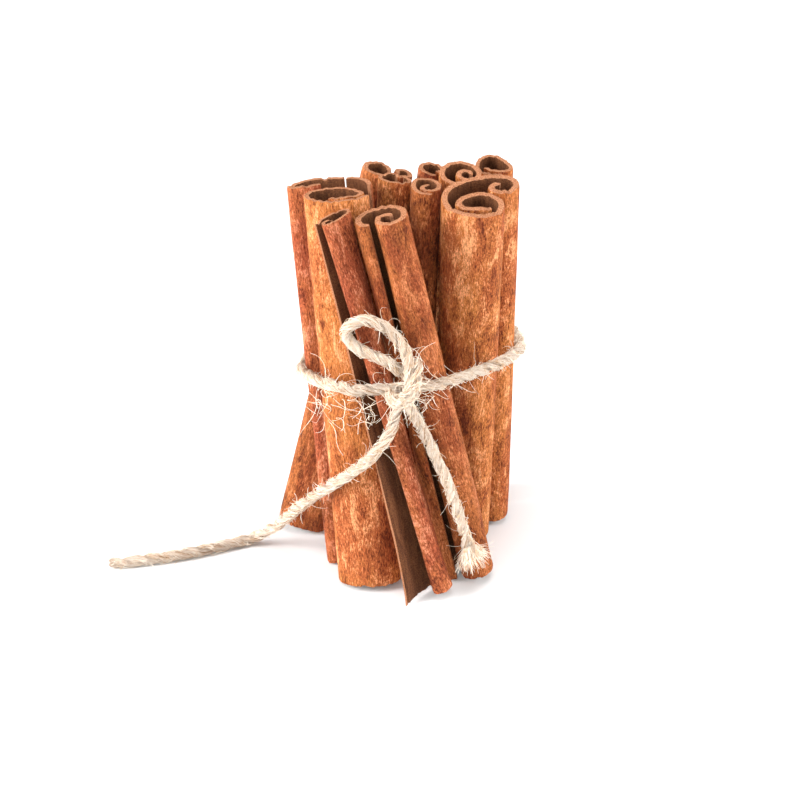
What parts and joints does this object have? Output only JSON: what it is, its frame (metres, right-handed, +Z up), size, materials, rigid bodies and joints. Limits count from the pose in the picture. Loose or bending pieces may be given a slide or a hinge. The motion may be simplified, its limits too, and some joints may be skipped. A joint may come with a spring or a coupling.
{
  "type": "bundle of cinnamon sticks",
  "caption": "Cinnamon quills of rolled bark stood on end and tied round the middle with a jute twine bow.",
  "frame": {"origin": "on the floor under the middle of the bundle's box, the twine's loop and tails left out", "axes": "+Z up along the quills, -Y towards the side with the knot, +X to the right seen from the knot's side"},
  "size_m": [0.0801, 0.0433, 0.08],
  "materials": {
    "bark_tan": "dry matt bark, fine lengthwise fibres",
    "bark_red_brown": "dry matt bark, fine lengthwise fibres",
    "bark_brown": "dry matt bark, fine lengthwise fibres",
    "jute": "two-ply twisted jute twine, hairy"
  },
  "bodies": {
    "root": {"quill_flat": "bark_red_brown", "quill_oval": "bark_tan", "quill_rear_left": "bark_brown", "quill_inner_twin": "bark_tan", "quill_flanged": "bark_brown", "quill_open_flap": "bark_red_brown", "quill_inner_curl": "bark_brown", "quill_back_middle": "bark_red_brown", "quill_back_hooded": "bark_tan", "quill_back_tall": "bark_tan", "quill_broad_twin": "bark_tan", "twine_ring": "jute", "twine_knot": "jute", "twine_loop": "jute", "twine_tail_long": "jute", "twine_tail_short": "jute"}
  },
  "joints": []
}
